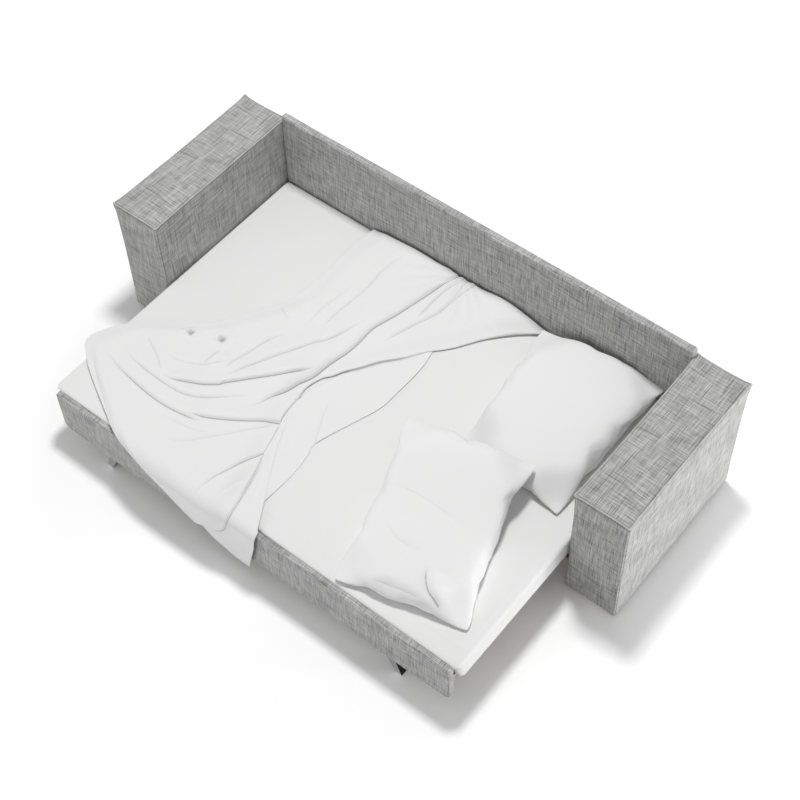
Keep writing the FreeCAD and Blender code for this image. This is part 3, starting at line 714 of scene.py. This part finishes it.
def duvetLayer(name, layer):
    # A grid between the left and right outlines. Its rim comes out from under, bulges and rounds over to the full
    # height, and the bottom is one row of wide faces, so the layer is closed.
    look = duvetLook
    left, right = (smoothPath(layer[key], look["outlinePieces"]) for key in ("left", "right"))
    left, right = (edge[np.argsort(-edge[:, 1])] for edge in (left, right))
    first, last = layer["span"]
    rimIn, rimUp = look["rim"] * np.array(look["rimIn"]), np.array(look["rimUp"])
    rows = np.linspace(first - look["rim"], last + look["rim"], int((first - last) / look["step"]))[1:-1]
    rowUp = np.concatenate([rimUp, np.ones(len(rows)), rimUp[::-1]])
    rows = np.concatenate([first - rimIn, rows, (last + rimIn)[::-1]])
    leftX = np.interp(-rows, -left[:, 1], left[:, 0])
    rightX = np.maximum(np.interp(-rows, -right[:, 1], right[:, 0]), leftX + look["leastWidth"])
    width = (rightX - leftX)[:, None]
    middle = np.linspace(0, 1, int(width.max() / look["step"]))[1:-1]
    rim = np.minimum(rimIn[None, :], look["rimMost"] * width)
    inner = rim[:, -1:] + (width - 2 * rim[:, -1:]) * middle[None, :]
    columns = np.concatenate([rim, inner, width - rim[:, ::-1]], 1)
    columnUp = np.concatenate([rimUp, np.ones(len(middle)), rimUp[::-1]])
    x = leftX[:, None] + columns
    t = np.repeat(rows[:, None], x.shape[1], 1)
    height, line, lineSide = foldHeights(x, t, layer["folds"])
    loose, crease = looseForms(x, t, layer)
    up = columnUp[None, :] * rowUp[:, None]
    inside = np.minimum(columns, width - columns)
    loft = layer["edgeLoft"] + (layer["loft"] - layer["edgeLoft"]) * easeIn(inside, look["thinReach"])
    height = np.maximum(loft + height + loose, layer["least"]) * up
    # Painted shade: the dimple pits, and the low rim where the layer rounds down to the bed.
    crease = crease * up + look["rimShade"] * easeIn(look["shadeBelow"] - up, look["shadeFade"])
    points = drape(x, t, bedGap(t) + height)
    order = np.arange(x.size).reshape(x.shape)
    quads = gridQuads(*x.shape)[:, ::-1]
    wide = np.stack([order[1:-2, 0], order[1:-2, -1], order[2:-1, -1], order[2:-1, 0]], -1)
    ends = [list(order[0, :]) + [order[1, -1], order[1, 0]],
            [order[-2, 0], order[-2, -1]] + list(order[-1, ::-1])]
    # The crease, line and lineSide marks carry the painted crease shade to the cotton.
    marks = {"crease": crease, "line": line * up, "lineSide": lineSide}
    piece = makePiece(name, points, np.concatenate([quads, wide]), "duvet_cotton", extra=ends, marks=marks)
    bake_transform(piece)
    return piece


# A fold is: path, side that is high (1 is left of the path's direction), then rise, reach and groove in
# millimetres, and the shares of the path over which it fades in and out. A dimple is: place, depth, size, rays. A
# swell is: place, reach along x and t, height. A pleat is: place, count, depth, reach, still middle, twist. These
# three are in metres.
mainLayer = {
    "span": (0.705, -0.886), "loft": 0.024, "edgeLoft": 0.0085, "least": 0.0065, "swell": 0.0016,
    "left": [-515, 740, -520, 660, -532, 584, -527, 436, -530, 325, -537, 258, -551, 181, -601, 96, -650, 19,
             -706, -70, -785, -144, -874, -214, -942, -260, -1000, -312, -1035, -367, -1058, -425, -1050, -465,
             -1014, -499, -960, -540, -873, -591, -777, -642, -691, -687, -631, -712, -571, -730, -510, -752,
             -440, -785, -372, -824, -312, -856, -258, -874, -190, -890],
    "right": [420, 740, 375, 690, 288, 616, 203, 520, 131, 410, 67, 337, 9, 254, -53, 180, -97, 109, -134, 58,
              -155, 15, -183, -24, -200, -95, -192, -160, -183, -240, -155, -324, -129, -419, -105, -482, -78, -584,
              -56, -675, -53, -725, -72, -790, -100, -833, -135, -862, -185, -884],
    "folds": [
        ([-967, -443, -915, -460, -840, -480, -747, -496, -640, -506, -547, -504, -452, -489, -400, -470], 1, 9, 60,
          12, 0.45, 0.12),
        ([-480, -482, -408, -450, -347, -415, -260, -358, -171, -288], 1, 11, 50, 13, 0.2, 0.0),
        ([-920, -384, -839, -412, -777, -425, -704, -430, -635, -431, -581, -428, -533, -418, -469, -384, -393, -314,
          -303, -238], 1, 9, 50, 8, 0.3, 0.35),
        ([-679, -405, -627, -398, -576, -372, -513, -337, -470, -301, -460, -282, -393, -210, -321, -133, -258, -56,
          -225, 0], 1, 10, 45, 14, 0.15, 0.15),
        ([-484, -276, -450, -199, -402, -95, -350, 7, -315, 75, -273, 135, -237, 229, -213, 325], 1, 9, 45, 7, 0.15,
          0.25),
        ([-399, 123, -399, 228, -393, 280, -383, 378, -378, 449], 1, 4, 40, 4, 0.3, 0.4),
        ([-348, 148, -338, 186, -336, 282, -323, 418, -330, 530, -317, 617, -297, 690], 1, 6, 70, 6, 0.15, 0.35),
        ([-314, -328, -290, -283, -267, -216, -245, -167, -230, -100, -211, -47, -195, 43, -174, 127, -170, 198,
          -172, 273, -159, 330, -140, 394, -125, 464, -105, 557, -85, 640, -60, 705], 1, 12, 75, 14, 0.15, 0.0),
        ([-100, 238, -71, 328, -47, 403, -12, 496, -6, 583, -13, 640, -20, 700], 1, 6, 30, 6, 0.2, 0.0),
        ([-62, 400, -64, 526, -60, 598, -48, 657, -35, 700], 1, 5, 20, 6, 0.25, 0.0),
        ([3, 525, 3, 610, 10, 655, 20, 700], 1, 4, 20, 5, 0.35, 0.0),
        ([-126, -425, -146, -475, -161, -519, -175, -565, -197, -628, -206, -690, -215, -750], 1, 9, 55, 16, 0.0,
          0.7),
        ([-93, -542, -119, -597, -128, -643, -127, -687], 1, 4, 30, 3, 0.35, 0.4),
        ([-166, -293, -212, -360, -276, -442, -343, -520, -407, -591, -503, -629], -1, 5, 50, 4, 0.12, 0.35),
        ([-320, -489, -390, -520, -471, -535, -558, -543], -1, 5, 40, 3, 0.3, 0.4),
        ([-986, -490, -893, -556, -791, -622, -696, -680, -624, -705], 1, 4, 25, 3, 0.2, 0.2),
        ([-883, -285, -803, -327, -742, -359, -685, -404], 1, 5, 40, 5, 0.35, 0.2),
        ([-587, -267, -588, -216, -580, -164], -1, 6, 40, 6, 0.2, 0.3),
        ([-506, -246, -501, -194, -481, -112, -466, -32, -442, 27, -413, 66], 1, 7, 45, 6, 0.15, 0.3),
        ([-752, -312, -671, -312, -585, -270, -545, -227, -503, -191], 1, 5, 35, 4, 0.3, 0.2),
        ([-561, 162, -501, 126, -460, 117], 1, 5, 50, 4, 0.35, 0.35),
        ([-1008, -466, -941, -509, -805, -602, -685, -678, -609, -767, -579, -802], 1, 1.4, 30, 1.5, 0.1, 0.3),
    ],
    "dimples": [((-0.737, -0.179), 0.008, 0.011, 5), ((-0.614, -0.128), 0.007, 0.013, 4)],
    "swells": [((-0.26, 0.7), (0.13, 0.1), 0.018), ((0.18, 0.7), (0.12, 0.11), 0.03)],
    "pleats": [((-0.045, 0.72), 22, 0.003, 0.22, 0.06, 6)],
}
midLayer = {
    "span": (-0.06, -0.966), "loft": 0.0055, "edgeLoft": 0.005, "least": 0.0035, "swell": 0.0005,
    "left": [-300, 0, -290, -100, -270, -174, -190, -300, -150, -600, -160, -800, -198, -880, -192, -902, -150, -932,
             -78, -952, -28, -963, 20, -974],
    "right": [-215, 0, -200, -100, -187, -166, -179, -224, -153, -268, -128, -323, -96, -391, -68, -442, -10, -539,
              37, -622, 72, -683, 86, -711, 74, -801, 50, -890, 29, -974],
    "folds": [
        ([-124, -419, -100, -482, -73, -584, -51, -675, -48, -725, -67, -790, -95, -837, -135, -868, -185, -889], 1,
          0, 60, 11, 0.3, 0.0),
        ([-165, -260, -130, -380, -85, -480, -30, -590, 10, -690, 10, -800], 1, 2, 30, 1, 0.2, 0.5),
        ([-96, -945, -60, -935, -30, -925], 1, 4, 20, 6, 0.2, 0.3),
    ],
}
lowLayer = {
    "span": (0.352, -0.61), "loft": 0.0045, "edgeLoft": 0.0028, "least": 0.002, "swell": 0.0003,
    "left": [-60, 400, -80, 200, -150, 0, -190, -150, -150, -350, -80, -500, -50, -650],
    "right": [65, 400, 75, 361, 91, 280, 95, 214, 93, 89, 88, 12, 59, -80, 29, -165, 2, -251, -4, -290, 10, -338,
              21, -443, 15, -578, 18, -650],
    "folds": [
        ([-179, -24, -151, 15, -130, 58, -93, 109, -49, 180, 13, 254, 71, 337], 1, 0, 40, 13, 0.25, 0.4),
        ([-80, -65, -77, -118, -47, -190, -1, -281, 4, -300], 1, 4, 40, 4, 0.3, 0.0),
    ],
}

mainPiece = duvetLayer("duvet_main", mainLayer)
duvetLayer("duvet_middle_layer", midLayer)
duvetLayer("duvet_under_layer", lowLayer)
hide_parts("duvet_rear", "duvet_front")
print("duvet made")


# Corners are rear left, rear right, front right and front left, on the bed at the pillow's own rest height. The
# rear edge is lifted by rise, from the share of the length that climb gives. The rim is rimUp higher between its
# corners, the middle is puff higher, and a pull is how far a side comes in and how far to one end it does so.
pillowLook = {
    "pillow_rear": {"corners": [(0.378, 0.676), (0.920, 0.735), (0.910, 0.032), (0.443, 0.057)], "rise": 0.042,
                    "climb": 0.55, "tall": 0.118, "rimUp": 0.028, "puff": 0.010, "seed": 5,
                    "body": "bedding_rear", "sidePulls": [(0.02, 0.0), (0.05, -0.2)],
                    "endPulls": [(0.01, 0.0), (0.02, 0.0)], "folds": []},
    "pillow_front": {"corners": [(0.258, -0.030), (0.771, 0.093), (0.941, -0.552), (0.432, -0.681)], "rise": 0.122,
                     "climb": 0.42, "tall": 0.108, "rimUp": 0.013, "puff": 0.018, "seed": 8,
                     "body": "top_pillow", "sidePulls": [(0.05, 0.1), (0.17, 0.35)],
                     "endPulls": [(0.02, 0.0), (0.01, 0.0)], "folds": [
                         ([545, -628, 579, -618, 650, -598, 721, -584, 770, -585], 1, 5, 45, 5, 0.3, 0.3),
                         ([700, -470, 714, -501, 757, -544, 825, -562], 1, 11, 45, 14, 0.3, 0.1),
                         ([347, -294, 460, -271, 594, -265, 735, -272], -1, 4, 90, 3, 0.3, 0.4),
                         ([461, -418, 556, -450, 679, -432], 1, 4, 80, 3, 0.3, 0.4),
                     ]},
}
pillowCloth = {
    "width": 0.54, "length": 0.72, "cells": (66, 88), "start": 0.016, "uneven": 0.0012, "unevenWaves": 8,
    "unevenRate": 14, "quality": 6, "mass": 0.25, "pressure": 3.0, "frames": 26, "cap": 0.085, "slack": -0.015,
    "tension": 14.0, "bending": 0.35, "calm": 0.80, "calmPasses": 12, "quickRise": 4, "seam": 0.008,
    "sinkBand": 0.006, "soften": 0.48, "bellyPower": 1.4, "foldPower": 0.5, "earThin": 0.22, "earReach": 0.17,
    "climbThin": 0.25, "creaseTimes": 1.3, "sideFrom": 0.999, "sideDegree": 4, "fill": 0.6,
}


def flatCase(name, random):
    # Two layers of cloth joined round the rim, (1 - u^2)^.5 (1 - v^2)^.5 apart, with a slight seeded unevenness.
    look = pillowCloth
    nu, nv = look["cells"]
    rate = look["unevenRate"]
    u, v = np.meshgrid(np.linspace(-1, 1, nu), np.linspace(-1, 1, nv))
    lens = np.sqrt((1 - u ** 2) * (1 - v ** 2))
    uneven = sum(random.uniform(0.4, 1) * np.sin(random.uniform(-rate, rate) * u + random.uniform(-rate, rate) * v
                                                 + random.uniform(0, 6.28)) for _ in range(look["unevenWaves"]))
    x, y = u * look["width"] / 2, v * look["length"] / 2
    top = np.stack([x, y, lens * (look["start"] + look["uneven"] * uneven)], -1)
    low = np.stack([x, y, -lens * look["start"]], -1)
    quads = gridQuads(nv, nu)
    return mergeDoubles(makePiece(name, [top, low], [quads, quads[:, ::-1] + nu * nv], "pillow_cotton"))


def meshPoints(mesh):
    points = np.empty(len(mesh.vertices) * 3, np.float32)
    mesh.vertices.foreach_get("co", points)
    return points.reshape(-1, 3).astype(float)


def inflate(piece, rest):
    # Air pressure inside the closed case, no gravity. Where the round form leaves cloth over, the rim puckers.
    look = pillowCloth
    cloth = piece.modifiers.new("cloth", "CLOTH")
    settings = cloth.settings
    settings.quality, settings.mass = look["quality"], look["mass"]
    settings.tension_stiffness = settings.compression_stiffness = look["tension"]
    settings.shear_stiffness, settings.bending_stiffness = look["tension"] / 2, look["bending"]
    settings.shrink_min = look["slack"]
    settings.use_pressure, settings.uniform_pressure_force = True, look["pressure"]
    settings.effector_weights.gravity = 0
    cloth.point_cache.frame_start, cloth.point_cache.frame_end = 1, look["frames"]
    scene = bpy.context.scene
    for frameNumber in range(1, look["frames"] + 1):
        scene.frame_set(frameNumber)
    blown = meshPoints(piece.evaluated_get(bpy.context.evaluated_depsgraph_get()).data)
    piece.modifiers.remove(cloth)
    scene.frame_set(1)
    move = blown - rest
    far = np.linalg.norm(move, axis=1, keepdims=True)
    return rest + move * np.minimum(1, look["cap"] / np.maximum(far, 1e-9))


def calmed(mesh, points):
    # Each point goes part of the way to the average of its neighbours, again and again, which lowers the puckers.
    ends = np.empty(len(mesh.edges) * 2, np.int32)
    mesh.edges.foreach_get("vertices", ends)
    one, other = np.concatenate([ends[::2], ends[1::2]]), np.concatenate([ends[1::2], ends[::2]])
    count = np.bincount(one, minlength=len(points))[:, None]
    even = points.copy()
    for _ in range(pillowCloth["calmPasses"]):
        total = np.stack([np.bincount(one, even[other, n], len(points)) for n in range(3)], -1)
        even = total / count
    return points + (even - points) * pillowCloth["calm"]


def straighten(place, across, along, pulls):
    # The slow part of how far a side has come in, a curve of a low degree along it, is taken out again, and its
    # puckers stay. Then each side comes in by its own share, (1 - a^2)(1 + skew a), most near the side itself. The
    # answer runs from -1 to 1.
    out = np.zeros(len(place))
    for sign, (pull, skew) in zip((-1, 1), pulls):
        side = across * sign > pillowCloth["sideFrom"]
        curve = np.polyfit(along[side], place[side] * sign, pillowCloth["sideDegree"])
        inward = 1 - pull * (1 - along ** 2) * (1 + skew * along) * across ** 2
        out = np.where(across * sign >= 0, place / np.polyval(curve, along) * inward, out)
    return out


def makePillow(node):
    # The blown case is laid on the bed: its plan is stretched onto the four corners, its height scaled to the
    # pillow's, the under side flattened where it would pass into the bed, and the rear climbs onto what is there.
    look, case = pillowLook[node], pillowCloth
    piece = flatCase(node + "_case", np.random.default_rng(look["seed"]))
    rest = meshPoints(piece.data)
    blown = calmed(piece.data, inflate(piece, rest))
    u, v, up = rest[:, 0] / case["width"] * 2, rest[:, 1] / case["length"] * 2, blown[:, 2]
    su = (straighten(blown[:, 0], u, v, look["sidePulls"]) + 1) / 2
    sv = (1 - straighten(blown[:, 1], v, u, look["endPulls"])) / 2
    corners = np.array(look["corners"])
    plan = np.stack([(1 - su) * (1 - sv), su * (1 - sv), su * sv, (1 - su) * sv], 1) @ corners
    belly = np.sqrt(((1 - u ** 2) * (1 - v ** 2)).clip(0))
    raised = look["rimUp"] * (1 - u ** 2 * v ** 2) + look["puff"] * belly
    height = up / up.max() * (1 - case["soften"]) + np.sign(up) * belly ** case["bellyPower"] * case["soften"]
    corner = np.min([np.hypot(*(plan - place).T) for place in corners], axis=0)
    ear = case["earThin"] + (1 - case["earThin"]) * easeIn(corner, case["earReach"])
    room = look["tall"] - case["seam"] - look["puff"] - look["rimUp"]
    z = case["seam"] + (raised + height * room) * ear
    folded, line, lineSide = foldHeights(plan[:, 0], plan[:, 1], look["folds"], case["creaseTimes"])
    z += np.where(up > 0, folded * belly ** case["foldPower"], 0)
    # Painted shade lines along the pillow's creases, on its upper side only.
    setMarks(piece.data, {"line": np.where(up > 0, line, 0), "lineSide": lineSide})
    band = case["sinkBand"]
    z = np.where(z < band, band * np.exp(np.minimum(z / band - 1, 0)), z)
    climb = easeIn(1 - sv - look["climb"], 1 - look["climb"])
    z = bedTop + bedGap(plan[:, 1]) + z * (1 - case["climbThin"] * climb) + look["rise"] * climb
    piece.data.vertices.foreach_set("co", np.column_stack([plan, z]).astype(np.float32).ravel())
    piece.data.update()
    finer = piece.modifiers.new("finer", "SUBSURF")
    finer.levels = finer.render_levels = 1
    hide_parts(node)
    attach(piece, look["body"])


makePillow("pillow_rear")
makePillow("pillow_front")
print("pillows made")


for row in frame["record"]["subparts"]:
    piece = frame["nodes"][row["node"]]
    piece.data.materials.clear()
    piece.data.materials.append(finishes[row["material_slot"]])
print("CAD pieces painted")


roomLook = {"floor": (0.86, 0.86, 0.86), "floorReach": 14.0, "nearGlow": 0.035, "farGlow": 0.65, "glowFrom": 1.3,
            "glowTo": 2.8, "sky": 0.40}
lampLook = {
    "keyLight": {"place": (-0.3, 1.1, 7.0), "target": (0, 0, 0.3), "size": (0.9, 0.9), "power": 275.0},
    "sideLight": {"place": (4.2, 1.2, 0.4), "target": (1.2, 0.4, 0.3), "size": (1.8, 0.6), "power": 78.0},
    "frontLight": {"place": (-1.2, -4.9, 1.1), "target": (-0.2, -0.7, 0.3), "size": (3.0, 1.2), "power": 44.0},
}


def backgroundRays(wire):
    # 1 for the rays that see the floor and the world as a background, straight or in a gloss or a glass, and else 0.
    camera, glossy, through = (wire.join("LightPath", out=name)
                               for name in ("Is Camera Ray", "Is Glossy Ray", "Is Transmission Ray"))
    return (camera + glossy + through).clamped()


def makeRoom():
    # A pale floor that glows in the background rays, more the farther it is, under an even white world.
    look = roomLook
    reach = look["floorReach"]
    mesh = bpy.data.meshes.new("floor")
    mesh.from_pydata([(-reach, -reach, 0), (reach, -reach, 0), (reach, reach, 0), (-reach, reach, 0)], [],
                     [(0, 1, 2, 3)])
    newObject("floor", mesh)
    material, wire, shader = newFinish("floorPaint")
    path = backgroundRays(wire)
    far = wire.join("VectorMath", {"operation": "LENGTH"}, out="Value", i0=wire.ownPlace())
    share = ((far - look["glowFrom"]) * (1 / (look["glowTo"] - look["glowFrom"]))).clamped()
    glow = share * (look["farGlow"] - look["nearGlow"]) + look["nearGlow"]
    setShader(wire, shader, Base_Color=path.blendColour(look["floor"], (1, 1, 1)), Roughness=1.0,
              Specular_IOR_Level=0.0, Emission_Color=(path * glow).blendColour((0, 0, 0), (1, 1, 1)),
              Emission_Strength=1.0)
    mesh.materials.append(material)

    world = bpy.data.worlds.new("studio")
    bpy.context.scene.world = world
    world.use_nodes = True
    tree = world.node_tree
    tree.nodes.clear()
    wire = Wire(tree)
    sky = look["sky"] + backgroundRays(wire) * (1 - look["sky"])
    glow = wire.join("Background", Color=(1, 1, 1), Strength=sky)
    tree.links.new(glow.socket, tree.nodes.new("ShaderNodeOutputWorld").inputs[0])


def setTurn(thing, aside, up, away, place):
    turn = np.eye(4)
    turn[:3] = np.stack([aside, up, away, place], 1)
    thing.matrix_world = Matrix(turn.tolist())


def areaLight(name):
    # A lamp shines down its own -Z, so away, its Z, points from the target to the lamp.
    place, target, size, power = (lampLook[name][key] for key in ("place", "target", "size", "power"))
    data = bpy.data.lights.new(name, "AREA")
    data.shape, data.size, data.size_y, data.energy = "RECTANGLE", size[0], size[1], power
    away = np.subtract(place, target)
    away /= np.linalg.norm(away)
    aside = np.cross((0, 0, 1), away)
    aside /= np.linalg.norm(aside)
    setTurn(newObject(name, data), aside, np.cross(away, aside), away, place)


cameraLook = {"azimuth": 40.459, "elevation": 54.052, "roll": -2.092, "place": (2.50813, -2.71044, 5.39210),
              "focalPixels": 1614.32, "imagePixels": 800, "sensor": 36, "farClip": 100}


def makeCamera():
    # The roll turns right and up about the line of sight.
    look = cameraLook
    a, e, r = (math.radians(look[key]) for key in ("azimuth", "elevation", "roll"))
    away = np.array([math.sin(a) * math.cos(e), -math.cos(a) * math.cos(e), math.sin(e)])
    right = np.array([math.cos(a), math.sin(a), 0])
    up = np.cross(away, right)
    data = bpy.data.cameras.new("camera")
    data.sensor_width, data.clip_end = look["sensor"], look["farClip"]
    data.lens = look["focalPixels"] * look["sensor"] / look["imagePixels"]
    camera = newObject("camera", data)
    aside, top = right * math.cos(r) + up * math.sin(r), up * math.cos(r) - right * math.sin(r)
    setTurn(camera, aside, top, away, look["place"])
    bpy.context.scene.camera = camera


makeRoom()
for lampName in lampLook:
    areaLight(lampName)
makeCamera()
bpy.context.scene.view_settings.view_transform = "Standard"
print("room, light and camera set")
